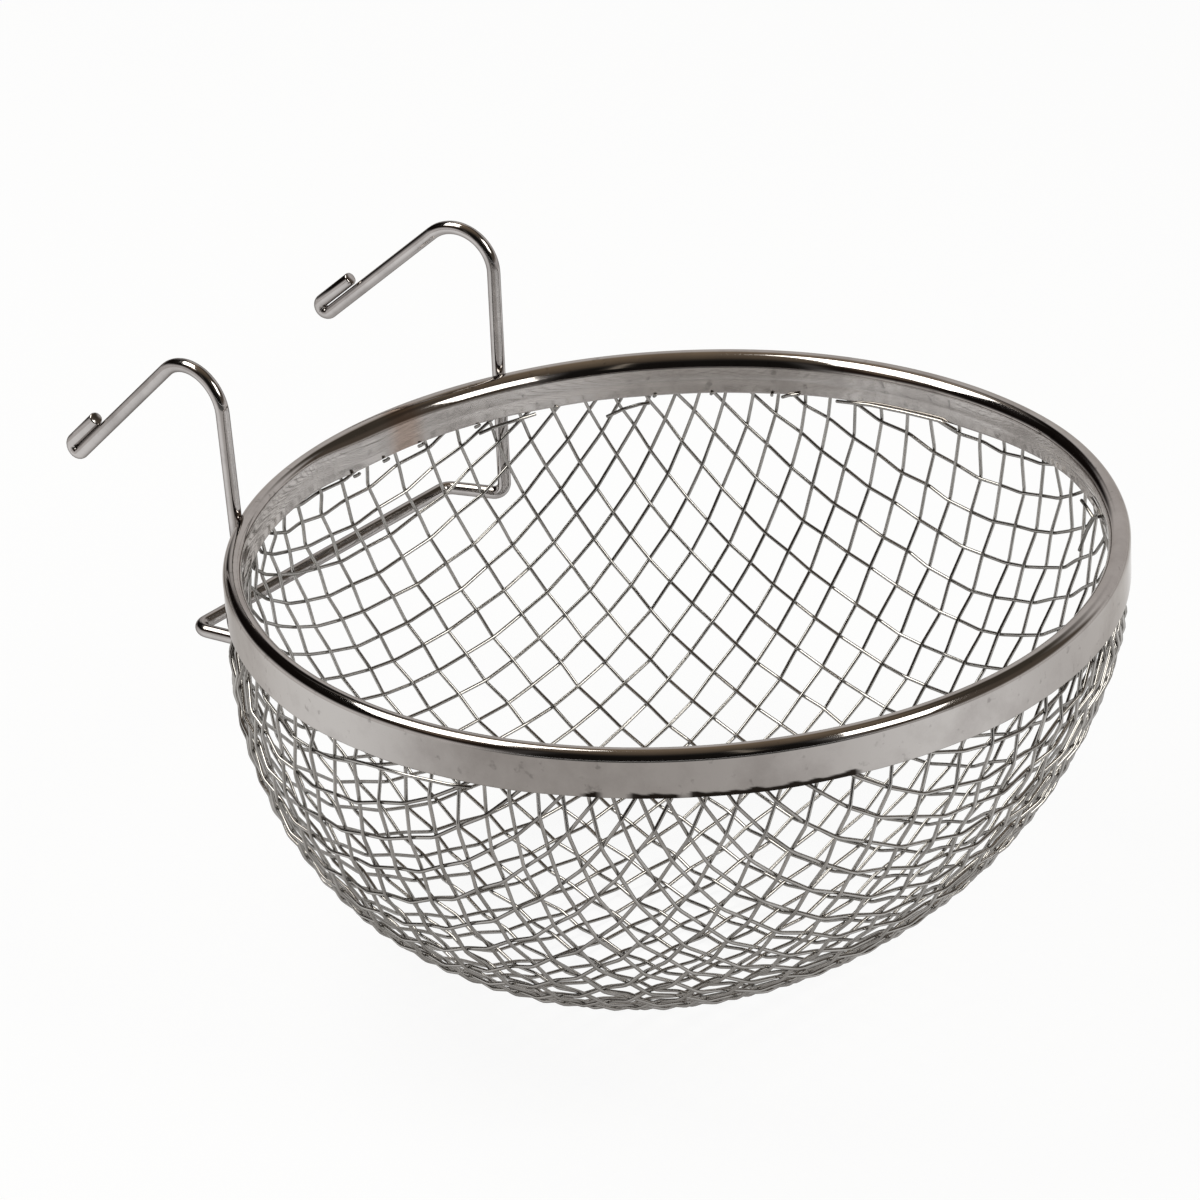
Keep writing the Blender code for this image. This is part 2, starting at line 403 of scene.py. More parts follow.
def add_tube(
    shape: Shape, route: np.ndarray, radius: float, sides: int, rounding: float, **marks: np.ndarray
) -> None:
    """Adds a closed round wire along a route.

    Args:
        shape: the piece that takes it.
        route: rows of x, y, z along the wire's middle.
        radius: of the wire.
        sides: points round it.
        rounding: radius of the cut ends' edges.
        marks: one value per route point, by attribute name.
    """
    first, last = unit(route[1] - route[0]), unit(route[-1] - route[-2])
    eased = rounding * (1 - math.sqrt(0.5))
    inset = [0.0, eased, rounding]
    starts = [route[0] + first * d for d in inset]
    ends = [route[-1] - last * d for d in inset[::-1]]
    radii = np.full(len(route) + 4, radius)
    radii[:2] = radii[:-3:-1] = [radius - rounding, radius - eased]
    line = np.concatenate([starts, route[1:-1], ends])
    heading = unit(np.gradient(line, axis=0))
    side = unit(np.cross(heading[0], ASLANT))
    turn = np.linspace(0, 2 * math.pi, sides, endpoint=False)
    along = np.concatenate([[0.0], np.cumsum(np.linalg.norm(np.diff(line, axis=0), axis=1))])
    rings, lays = [], []
    for place, way, ring_radius, length in zip(line, heading, radii, along):
        side = unit(side - way * (side @ way))
        other = np.cross(way, side)
        spoke = np.cos(turn)[:, None] * side + np.sin(turn)[:, None] * other
        rings.append(place + spoke * ring_radius)
        lay = np.stack([np.full(sides, length), radius * np.cos(turn), radius * np.sin(turn)], 1)
        lays.append(lay / MM)
    count = len(line)
    caps = [list(range(sides - 1, -1, -1)), list(range((count - 1) * sides, count * sides))]
    faces = grid_faces(count, sides).tolist() + caps
    spread = {}
    for name, values in marks.items():
        padded = np.concatenate([[values[0]] * 2, values, [values[-1]] * 2])
        spread[name] = np.repeat(padded, sides)
    shape.add(np.concatenate(rings), faces, lay=np.concatenate(lays), **spread)


@dataclass
class Rim:
    """The strip folded over the cloth's edge: outer band, crown and inner flange."""

    outer_shoulder: float = 1.40 * MM
    inner_shoulder: float = 2.10 * MM
    slim_shoulder: float = 1.20 * MM
    sheet: float = 0.45 * MM
    inner_depth: float = 5.8 * MM
    crease: float = 0.06 * MM
    steps: int = 720
    shoulder_steps: int = 12
    wall_rows: tuple[float, ...] = (0.2, 0.38, 0.45, 0.52, 0.7, 0.82, 0.86, 0.89, 0.92, 0.95, 1.0)
    crease_row: float = 0.45
    lip_round: float = 0.12 * MM
    lip_ease: float = 0.3
    # How the band's lip wanders up and down: waves round the rim, strength and start of each
    wander: float = 0.05 * MM
    wander_waves: Waves = ((5, 1.0, 0.4), (11, 0.7, 2.1), (23, 0.5, 4.0))
    # Turn in degrees and millimetres, as seen on the pan: how far the hand-bent ring is out of round, how
    # much slimmer its fold is, and how far its flange leans out and falls short
    bulges: TurnMarks = (
        (-100, 0.0), (-60, -0.35), (-45, -0.2), (-25, 0.3), (20, 0.25), (35, 0.0), (65, 0.05), (90, 0.45),
        (108, 0.6), (130, 0.4), (150, 0.0),
    )
    slimmings: TurnMarks = (
        (-110, 0.9), (-70, 0.7), (-45, 0.35), (-22, 0.35), (-5, 0.1), (5, 0.0), (88, 0.0), (97, 0.9)
    )
    flange_leans: TurnMarks = ((-90, 0.0), (-60, 0.3), (-40, 0.6), (-28, 0.5), (-12, 0.0))
    flange_trims: TurnMarks = (
        (-100, 0.3), (-45, 0.3), (-31, 0.8), (-20, 0.4), (-10, 0.2), (10, 0.2), (45, -0.1), (70, 0.3),
        (88, 0.15), (97, 0.5), (125, 0.4), (160, 0.3),
    )
    smooth_steps: int = 12
    # Where painted shade lines the band's lip, between which rows it begins, and how ragged its edge is
    soiled_turns: TurnMarks = ((-154.0, -151.9), (-148.4, -142.5), (-141.4, -120.9))
    soil_fade: float = 0.5
    soil_rows: tuple[float, float] = (0.86, 0.90)
    ragged_waves: Waves = ((61, 0.018, 0.0), (97, 0.018, 1.0), (151, 0.018, 2.0))
    # Where the strip's butt weld has tinted the flange, in degrees
    weld_turn: float = 79.8
    weld_half: float = 4.0
    weld_core: float = 0.8
    centre: np.ndarray = field(init=False)
    radius: float = field(init=False)
    outer_depth: float = field(init=False)

    def __post_init__(self) -> None:
        """Takes the rim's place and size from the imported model."""
        low, high = (np.array(corner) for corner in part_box("rim_band"))
        self.centre = np.array([(low[0] + high[0]) / 2, (low[1] + high[1]) / 2, high[2]])
        self.radius = (high[0] - low[0]) / 2
        self.outer_depth = high[2] - low[2]

    def half_section(self, shoulder: float, side: int, depth: float) -> list[tuple[float, float, float, int]]:
        """One side of the fold's outer face, from the crown to the lip.

        Args:
            shoulder: radius of the bend.
            side: 1 outside, -1 inside.
            depth: of the lip below the crown.

        Returns:
            Radius, height, share of the way to the lip and side for each point.
        """
        crown = self.radius - self.outer_shoulder
        face = crown + side * shoulder
        inner = face - side * self.sheet
        points = []
        for n in range(self.shoulder_steps + 1):
            angle = math.pi / 2 * (1 - n / self.shoulder_steps)
            out, fall = shoulder * math.cos(angle), shoulder * (math.sin(angle) - 1)
            points.append((crown + side * out, fall, 0.0, side))
        run = depth - self.lip_round - shoulder
        for share in self.wall_rows:
            bent = self.crease if side < 0 and share == self.crease_row else 0.0
            points.append((face + bent, -shoulder - run * share, share, side))
        eased = self.lip_round * self.lip_ease
        points.append((face - side * eased, -depth + eased, 1.0, side))
        points.append((face - side * self.lip_round, -depth, 1.0, side))
        points.append((inner + side * self.lip_round, -depth, 1.0, side))
        points.append((inner, -depth + self.lip_round, 1.0, side))
        return points

    def section(self, inner_shoulder: float) -> np.ndarray:
        """The whole fold as a closed loop.

        Args:
            inner_shoulder: radius of the bend on the inside.

        Returns:
            Radius, height, share of the way to a lip and side for each point.
        """
        outer = self.half_section(self.outer_shoulder, 1, self.outer_depth)
        inner = self.half_section(inner_shoulder, -1, self.inner_depth)
        crown = self.radius - self.outer_shoulder
        roof = []
        for n in range(1, self.shoulder_steps):
            angle = math.pi * n / self.shoulder_steps
            radius = self.outer_shoulder if angle < math.pi / 2 else inner_shoulder
            reach = radius - self.sheet
            roof.append((crown + math.cos(angle) * reach, math.sin(angle) * reach - radius, 0.0, 0))
        return np.array(outer + roof + inner[:0:-1])

    def waved(self, turn: np.ndarray, waves: Waves) -> np.ndarray:
        """Waves round the rim, added up."""
        return sum(strength * np.sin(number * turn + start) for number, strength, start in waves)

    def around(self, turn: np.ndarray, marks: TurnMarks) -> np.ndarray:
        """Lengths in between those that are given at some turns.

        Args:
            turn: in radians.
            marks: turn in degrees and millimetres.

        Returns:
            One length per turn.
        """
        places, lengths = zip(*marks)
        spread = np.interp(np.degrees(turn), places, lengths, period=360)
        steps = self.smooth_steps
        wide = np.hanning(2 * steps + 1)
        padded = np.concatenate([spread[-steps:], spread, spread[:steps]])
        return np.convolve(padded, wide / wide.sum(), "valid") * MM

    def soil(self, turn: np.ndarray, section: np.ndarray) -> np.ndarray:
        """How much painted shade each point takes: dark along parts of the band's lip.

        Args:
            turn: in radians.
            section: the fold's loop.

        Returns:
            One row per turn and one value per point of the section.
        """
        degrees = (np.degrees(turn) + 180) % 360 - 180
        fade = self.soil_fade
        line = np.zeros_like(turn)
        for start, stop in self.soiled_turns:
            line += ease(degrees, start - fade, start + fade) * ease(degrees, stop + fade, stop - fade)
        ragged = self.waved(turn, self.ragged_waves)[:, None]
        lip = ease(section[:, 2] + ragged, *self.soil_rows) * (section[:, 3] > 0)
        return line[:, None] * lip

    def tint(self, turn: np.ndarray, section: np.ndarray) -> np.ndarray:
        """How brown the butt weld has made each point of the flange.

        Args:
            turn: in radians.
            section: the fold's loop.

        Returns:
            One row per turn and one value per point of the section.
        """
        aside = np.abs((np.degrees(turn) - self.weld_turn + 180) % 360 - 180)
        return ease(aside, self.weld_half, self.weld_core)[:, None] * (section[:, 3] < 0)

    def build(self) -> None:
        """Turns the section round the rim's axis."""
        section, slim = self.section(self.inner_shoulder), self.section(self.slim_shoulder)
        count = len(section)
        turn = np.linspace(0, 2 * math.pi, self.steps, endpoint=False)
        drop = self.wander * self.waved(turn, self.wander_waves)
        thin = (self.around(turn, self.slimmings) / (self.inner_shoulder - self.slim_shoulder))[:, None]
        inside = section[:, 2] * (section[:, 3] < 0)
        lean = self.around(turn, self.flange_leans)[:, None] * inside
        trim = self.around(turn, self.flange_trims)[:, None] * inside
        bulge = self.around(turn, self.bulges)[:, None]
        radius = section[:, 0] + (slim - section)[:, 0] * thin + bulge + lean
        height = section[:, 1] + (slim - section)[:, 1] * thin + trim - drop[:, None] * section[:, 2]
        points = np.stack([radius * np.cos(turn)[:, None], radius * np.sin(turn)[:, None], height], -1)
        girth = np.concatenate([[0.0], np.cumsum(np.linalg.norm(np.diff(section[:, :2], axis=0), axis=1))])
        around = np.broadcast_to((turn * self.radius)[:, None], (self.steps, count))
        across = np.broadcast_to(girth, (self.steps, count))
        lay = np.stack([around, across, np.zeros_like(across)], -1) / MM
        faces = grid_faces(self.steps, count, ring=True)
        # Painted shade along the band's lip, and the weld's heat tint on the flange
        soil, tint = self.soil(turn, section).ravel(), self.tint(turn, section).ravel()
        shape = Shape()
        shape.add(points.reshape(-1, 3), faces, lay=lay.reshape(-1, 3), soil=soil, tint=tint)
        dress(shape.piece("folded_rim", self.centre), RIM_NICKEL, ["rim_band"])


@dataclass
class BowlForm:
    """The round form that the cloth was pressed into, measured from the rim's crown."""

    seat_radius: float = 58.54 * MM
    mouth: float = -6.3 * MM
    depth: float = 54.0 * MM
    side_power: float = 2.26
    base_power: float = 1.98
    belly: float = 1.1 * MM
    belly_run: float = 5.0 * MM
    lean_x: float = -4.35 * MM
    lean_y: float = 5.4 * MM
    slope_reach: float = 0.001 * MM
    settle_rounds: int = 4
    meet_rounds: int = 10
    longest_step: float = 3 * MM
    least_step: float = 1e-12

    def level(self, points: np.ndarray) -> np.ndarray:
        """How far off the cloth's middle points are.

        Args:
            points: rows of x, y, z.

        Returns:
            Zero on the cloth, below zero inside the bowl.
        """
        depth = np.maximum(self.mouth - points[..., 2], 0.0)
        share = depth / self.depth
        out = np.hypot(points[..., 0] - self.lean_x * share, points[..., 1] - self.lean_y * share)
        radius = self.seat_radius + self.belly * ease(depth, 0.0, self.belly_run)
        return (out / radius) ** self.side_power + share**self.base_power - 1

    def slope(self, points: np.ndarray) -> np.ndarray:
        """How the level changes along X, Y and Z.

        Args:
            points: rows of x, y, z.

        Returns:
            One row for each point.
        """
        shifts = np.eye(3) * self.slope_reach
        ways = [self.level(points + s) - self.level(points - s) for s in shifts]
        return np.stack(ways, -1) / (2 * self.slope_reach)

    def normal(self, points: np.ndarray) -> np.ndarray:
        """Unit vectors out of the bowl."""
        return unit(self.slope(points))

    def settle(self, points: np.ndarray) -> np.ndarray:
        """Moves points near the bowl onto it.

        Args:
            points: rows of x, y, z.

        Returns:
            The moved points.
        """
        for _ in range(self.settle_rounds):
            slope = self.slope(points)
            points = points - slope * (self.level(points) / (slope**2).sum(-1))[..., None]
        return points

    def meet(
        self,
        guess: np.ndarray,
        rows: list[tuple[np.ndarray, float]],
        planes: list[tuple[np.ndarray, np.ndarray]],
    ) -> np.ndarray:
        """Finds bowl points at set distances from centres, or in planes.

        Args:
            guess: where to start, one row per point.
            rows: centres and the distance from each.
            planes: a point and a normal of each plane.

        Returns:
            The points found.
        """
        points = guess
        for _ in range(self.meet_rounds):
            misses = [((points - c) ** 2).sum(-1) - d * d for c, d in rows]
            slopes = [2 * (points - c) for c, _ in rows]
            misses += [(points - c) @ n for c, n in planes]
            slopes += [np.broadcast_to(n, points.shape) for _, n in planes]
            misses.append(self.level(points))
            slopes.append(self.slope(points))
            step = np.linalg.solve(np.stack(slopes, -2), np.stack(misses, -1)[..., None])[..., 0]
            length = np.linalg.norm(step, axis=-1, keepdims=True)
            points = points - step * np.minimum(1, self.longest_step / np.maximum(length, self.least_step))
        return points


@dataclass
class WireCloth:
    """Plain weave of round wire, draped over the bowl as a net whose cells shear."""

    wire: float = 0.50 * MM
    warp_step: float = 4.387 * MM
    weft_step: float = 5.147 * MM
    turn: float = -1.7801
    shift_along: float = -2.375
    shift_across: float = 0.734
    warp_tilts: tuple[float, float] = (-0.248, -0.310)
    weft_tilts: tuple[float, float] = (0.050, 0.011)
    tuck: float = 3.0 * MM
    lift: float = 0.30 * MM
    bend_share: float = 0.14
    reach: int = 45
    sides: int = 8
    wander: float = 0.16 * MM
    wander_memory: float = 0.7
    seed: int = 7
    # Painted shade where the wires cross, as a share of the dark colour
    crossing_soil: float = 0.12
    beside_crossing: float = 0.35
    cut_round: float = 0.05 * MM
    least_knots: int = 4
    sink_rounds: int = 30
    least_fall: float = 1e-3
    # Ends that were bent over the flange's edge, by turn in degrees, the shape of each, and strands that
    # came out of the fold, by turn, radius and height, in degrees and millimetres from the rim's crown
    bent_ends: tuple[float, ...] = (89.8, 83.8, 77.3, 67.7, 55.5, 40.9, 32.7, 23.9)
    bent_end: Route = ((0.2, 57.2, -6.2), (0.1, 56.75, -5.95), (0.0, 56.35, -5.65), (-0.05, 56.3, -5.45))
    strays: tuple[Route, ...] = (
        (
            (172.5, 59.8, -8.6), (176.0, 60.2, -7.7), (183.0, 60.4, -7.1), (189.0, 60.3, -6.9),
            (192.0, 59.8, -6.9),
        ),
        ((-43.5, 57.0, -4.6), (-42.0, 56.7, -5.4), (-37.5, 57.0, -9.5), (-33.0, 57.6, -14.7)),
        ((-41.0, 57.0, -6.2), (-38.6, 56.6, -5.4), (-36.0, 56.8, -5.6)),
        ((67.2, 57.6, -7.6), (65.0, 57.0, -6.9), (62.0, 56.8, -6.6), (58.6, 56.7, -6.2)),
        ((48.0, 57.8, -9.0), (45.6, 57.2, -7.8), (43.2, 56.6, -7.0), (41.8, 56.5, -6.9)),
        ((22.6, 57.2, -6.4), (21.4, 56.5, -5.7), (19.8, 56.4, -5.4)),
        (
            (14.5, 57.2, -6.2), (9.0, 56.45, -5.6), (3.0, 56.45, -5.6), (-3.0, 56.5, -5.5),
            (-5.7, 56.8, -6.3),
        ),
    )
    end: float = field(init=False)

    def walk(
        self, form: BowlForm, start: np.ndarray, way: np.ndarray, step: float, tilt: float
    ) -> Iterator[np.ndarray]:
        """Steps over the bowl in one plane, up into the rim.

        Args:
            form: the bowl.
            start: first point.
            way: level heading.
            step: length of each step.
            tilt: how far the plane leans from upright.

        Yields:
            Each point after the first.
        """
        plane = (start, np.array([-way[1], way[0], tilt]))
        last, ahead = start, way * step
        for _ in range(self.reach):
            point = form.meet(last + ahead, [(last, step)], [plane])
            last, ahead = point, point - last
            yield point
            if point[2] > self.end:
                return

    def knots(self, form: BowlForm) -> np.ndarray:
        """Drapes the net: each knot is a step from both of its inner neighbours.

        Args:
            form: the bowl.

        Returns:
            A grid of points, along the warp and then along the weft, empty where there is no cloth.
        """
        self.end = form.mouth + self.tuck
        along = np.array([math.cos(self.turn), math.sin(self.turn), 0.0])
        across = np.cross(UP, along)
        shift = along * self.shift_along * self.warp_step + across * self.shift_across * self.weft_step
        middle = np.array([form.lean_x, form.lean_y, form.mouth - form.depth]) + shift
        for _ in range(self.sink_rounds):
            middle = middle - UP * form.level(middle) / min(form.slope(middle)[2], -self.least_fall)
        size = self.reach
        grid = np.full((2 * size + 1, 2 * size + 1, 3), np.nan)
        grid[size, size] = middle
        for sign, warp_tilt, weft_tilt in zip((1, -1), self.warp_tilts, self.weft_tilts):
            for n, point in enumerate(self.walk(form, middle, sign * along, self.warp_step, warp_tilt), 1):
                grid[size + sign * n, size] = point
            for n, point in enumerate(self.walk(form, middle, sign * across, self.weft_step, weft_tilt), 1):
                grid[size, size + sign * n] = point
        signs = np.array([(1, 1), (1, -1), (-1, 1), (-1, -1)])
        for total in range(2, 2 * size):
            i = np.arange(max(1, total - size), min(total, size + 1))
            cells = np.stack([i, total - i], 1)
            out = (signs[:, None] * cells[None]).reshape(-1, 2)
            back = np.repeat(signs, len(i), axis=0)
            row, column = size + out[:, 0], size + out[:, 1]
            inner = grid[row - back[:, 0], column]
            before = grid[row, column - back[:, 1]]
            corner = grid[row - back[:, 0], column - back[:, 1]]
            held = ~np.isnan(inner + before + corner).any(1)
            held &= np.minimum(inner[:, 2], before[:, 2]) <= self.end
            if held.any():
                inner, before, corner = inner[held], before[held], corner[held]
                rows = [(inner, self.warp_step), (before, self.weft_step)]
                grid[row[held], column[held]] = form.meet(inner + before - corner, rows, [])
        return grid

    def loosen(self, form: BowlForm, grid: np.ndarray) -> np.ndarray:
        """Lets each wire wander sideways a little, as pressed cloth does.

        Args:
            form: the bowl.
            grid: the even knots.

        Returns:
            Uneven knots, still on the bowl.
        """
        chance = np.random.default_rng(self.seed)
        size = grid.shape[0]
        drift = chance.normal(0, 1, (2, size, size))
        for n in range(1, size):
            fresh = math.sqrt(1 - self.wander_memory**2)
            drift[0, n] = self.wander_memory * drift[0, n - 1] + fresh * drift[0, n]
            drift[1, :, n] = self.wander_memory * drift[1, :, n - 1] + fresh * drift[1, :, n]
        along = np.full_like(grid, np.nan)
        across = np.full_like(grid, np.nan)
        along[1:-1] = grid[2:] - grid[:-2]
        across[:, 1:-1] = grid[:, 2:] - grid[:, :-2]
        along, across = unit(along), unit(across)
        moved = grid + self.wander * (drift[0][..., None] * across + drift[1][..., None] * along)
        usable = ~np.isnan(moved).any(-1)
        grid = grid.copy()
        grid[usable] = form.settle(moved[usable])
        return grid

    def strand(
        self, knots: np.ndarray, normals: np.ndarray, over: np.ndarray
    ) -> tuple[np.ndarray, np.ndarray]:
        """One wire's route with its bend at every crossing.

        Args:
            knots: crossings along the wire, from rim to rim.
            normals: out of the bowl at each.
            over: 1 where the wire is outside its crossing wire, -1 where inside.

        Returns:
            Points of the route, and how near each is to a crossing.
        """
        centres = knots + normals * (over * self.lift)[:, None]
        route, touch = [centres[0]], [1.0]
        for before, here, after in zip(centres, centres[1:], centres[2:]):
            first = here + (before - here) * self.bend_share
            second = here + (after - here) * self.bend_share
            route += [first, (first + 2 * here + second) / 4, second]
            touch += [self.beside_crossing, 1.0, self.beside_crossing]
        return np.array(route + [centres[-1]]), np.array(touch + [1.0])

    def trimmed(self, route: np.ndarray, touch: np.ndarray) -> tuple[np.ndarray, np.ndarray]:
        """Cuts a wire off where its two ends are held in the fold.

        Args:
            route: points from beyond one end to beyond the other.
            touch: the mark of each point.

        Returns:
            What is left of both.
        """
        below = np.flatnonzero(route[:, 2] < self.end)
        first, last = below[0], below[-1]
        points, marks = list(route[first : last + 1]), list(touch[first : last + 1])
        if first > 0:
            share = (self.end - route[first, 2]) / (route[first - 1, 2] - route[first, 2])
            points.insert(0, route[first] + share * (route[first - 1] - route[first]))
            marks.insert(0, 0.0)
        if last < len(route) - 1:
            share = (self.end - route[last, 2]) / (route[last + 1, 2] - route[last, 2])
            points.append(route[last] + share * (route[last + 1] - route[last]))
            marks.append(0.0)
        return np.array(points), np.array(marks)

    def wires(self, form: BowlForm, family: Family) -> Iterator[tuple[np.ndarray, np.ndarray]]:
        """Every wire of one family.

        Args:
            form: the bowl.
            family: warp or weft.

        Yields:
            Each wire's route and marks.
        """
        grid = self.loosen(form, self.knots(form))
        parity = np.indices(grid.shape[:2]).sum(0) % 2 * 2 - 1
        if family is Family.WEFT:
            grid, parity = grid.transpose(1, 0, 2), -parity.T
        for column in range(grid.shape[1]):
            line = grid[:, column]
            held = np.flatnonzero(~np.isnan(line[:, 0]))
            if len(held) < self.least_knots:
                continue
            lowest = held[np.argmin(line[held, 2])]
            first = last = lowest
            while first - 1 in held:
                first -= 1
            while last + 1 in held:
                last += 1
            span = slice(first, last + 1)
            if last - first + 1 < self.least_knots or line[lowest, 2] > form.mouth:
                continue
            knots, over = line[span], parity[span, column].astype(float)
            yield self.trimmed(*self.strand(knots, form.normal(knots), over))

    def ends(self) -> Iterator[np.ndarray]:
        """The wire ends that show at the rim.

        Yields:
            Each end's route.
        """
        bent = [[(turn + t, r, z) for t, r, z in self.bent_end] for turn in self.bent_ends]
        for stray in bent + list(self.strays):
            turn, radius, height = np.array(stray).T
            turn = np.radians(turn)
            yield np.stack([radius * np.cos(turn), radius * np.sin(turn), height], 1) * MM

    def build(self, form: BowlForm, at: np.ndarray) -> None:
        """Makes the two families of wires.

        Args:
            form: the bowl.
            at: the rim's crown centre.
        """
        for family in Family:
            strands = list(self.wires(form, family))
            LOG.info("%s: %d wires", family.value, len(strands))
            if family is Family.WEFT:
                strands += [(route, np.ones(len(route))) for route in self.ends()]
            shape = Shape()
            for route, touch in strands:
                # Painted shade, strongest at each crossing
                soil = touch * self.crossing_soil
                add_tube(shape, route, self.wire / 2, self.sides, self.cut_round, soil=soil)
            piece = shape.piece(f"{family.value}_wires", at)
            nodes = [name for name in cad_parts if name.startswith(f"{family.value}_wire_")]
            dress(piece, CLOTH_NICKEL, nodes)


@dataclass
class Hook:
    """One end of the hanger. Heights count from the rim's crown, the lean is per unit of height."""

    side: int
    leg_turn: float
    lean: tuple[float, float]
    height: float
    reach: float
    droop: float
    toe_in: float
    bend: float
    fold_gap: float
    bar_end: tuple[float, float]
    fold_length: float = 7.7 * MM


# The wire was bent by hand, so the two ends differ a little
LEFT_HOOK = Hook(
    side=-1, leg_turn=math.radians(25.95), lean=(-0.0235, 0.001), height=21.5 * MM, reach=29.7 * MM,
    droop=math.radians(42.7), toe_in=math.radians(1.5), bend=5.8 * MM, fold_gap=0.05 * MM,
    bar_end=(27.3 * MM, 64.0 * MM),
)
RIGHT_HOOK = Hook(
    side=1, leg_turn=math.radians(27.9), lean=(0.015, -0.0105), height=21.8 * MM, reach=29.5 * MM,
    droop=math.radians(39.7), toe_in=math.radians(10.9), bend=5.9 * MM, fold_gap=0.12 * MM,
    bar_end=(25.4 * MM, 62.9 * MM),
)


@dataclass
class Hanger:
    """One wire that makes both hooks, both legs and the crossbar."""

    wire: float = 1.9 * MM
    leg_gap: float = 0.1 * MM
    bar_drop: float = 19.8 * MM
    foot_bend: float = 1.9 * MM
    bend_step: float = math.radians(5)
    fewest_steps: int = 3
    cut_round: float = 0.2 * MM
    sides: int = 24

    def rounded(self, corners: list[np.ndarray], radii: list[float]) -> np.ndarray:
        """A route through corners, each turned by an arc of its own radius.

        Args:
            corners: points of the bent line.
            radii: one for each inner corner.

        Returns:
            Points of the route.
        """
        route = [corners[0]]
        for before, corner, after, radius in zip(corners, corners[1:], corners[2:], radii):
            inward, outward = unit(before - corner), unit(after - corner)
            turn = math.pi - math.acos(float(np.clip(inward @ outward, -1, 1)))
            centre = corner + unit(inward + outward) * radius / math.cos(turn / 2)
            first = corner + inward * radius * math.tan(turn / 2) - centre
            steps = max(self.fewest_steps, math.ceil(turn / self.bend_step))
            for angle in np.linspace(0, turn, steps + 1):
                route.append(centre + first * math.cos(angle) - inward * radius * math.sin(angle))
        return np.array(route + [corners[-1]])

    def corners(self, hook: Hook, rim: Rim) -> list[np.ndarray]:
        """The bent line of one end, from its fold's cut end to the crossbar.

        Args:
            hook: sizes of this end.
            rim: what the leg is welded to.

        Returns:
            Its corners.
        """
        ring = rim.radius + self.leg_gap + self.wire / 2
        leg = ring * np.array([hook.side * math.sin(hook.leg_turn), math.cos(hook.leg_turn), 0.0])
        upward = np.array([*hook.lean, 1.0])
        out = np.array([-hook.side * math.sin(hook.toe_in), math.cos(hook.toe_in), 0.0])
        arm = out * math.cos(hook.droop) - UP * math.sin(hook.droop)
        above = out * math.sin(hook.droop) + UP * math.cos(hook.droop)
        half_turn = (math.pi / 2 + hook.droop) / 2
        peak = leg + upward * (hook.height - self.wire / 2 - hook.bend + hook.bend * math.tan(half_turn))
        tip = peak + arm * (hook.reach - self.wire / 2) / math.cos(hook.droop)
        fold = tip + above * (self.wire + hook.fold_gap)
        foot = leg - upward * self.bar_drop
        bar_end = np.array([hook.side * hook.bar_end[0], hook.bar_end[1], -self.bar_drop])
        return [fold - arm * hook.fold_length, fold, tip, peak, foot, bar_end]

    def build(self, rim: Rim) -> None:
        """Bends the wire.

        Args:
            rim: what it is welded to.
        """
        ends = []
        for hook in (LEFT_HOOK, RIGHT_HOOK):
            fold = (self.wire + hook.fold_gap) / 2
            radii = [fold, fold, hook.bend, self.foot_bend, self.foot_bend]
            ends.append((self.corners(hook, rim), radii))
        (left, left_radii), (right, right_radii) = ends
        route = self.rounded(left + right[::-1], left_radii + right_radii[::-1])
        shape = Shape()
        add_tube(shape, route, self.wire / 2, self.sides, self.cut_round)
        dress(shape.piece("hanger", rim.centre), HANGER_CHROME, ["hanger_wire"])


@dataclass(frozen=True)
class Wall:
    """A soft-edged part of the room, by its turn to the right of the camera and its rise, in degrees."""

    colour: str
    turn: float
    half: float
    low: float
    top: float
    soft: float


@dataclass(frozen=True)
class SoftBox:
    """A lamp that points at the pan.

    Its place is to the right, away and up from the rim's crown, as the photo sees them, its size is its
    width and height, its roll is in degrees about the way that it points, and its power is in watts.
    """

    name: str
    place: tuple[float, float, float]
    size: tuple[float, float]
    roll: float
    power: float
    colour: str = "#FFFDF7"


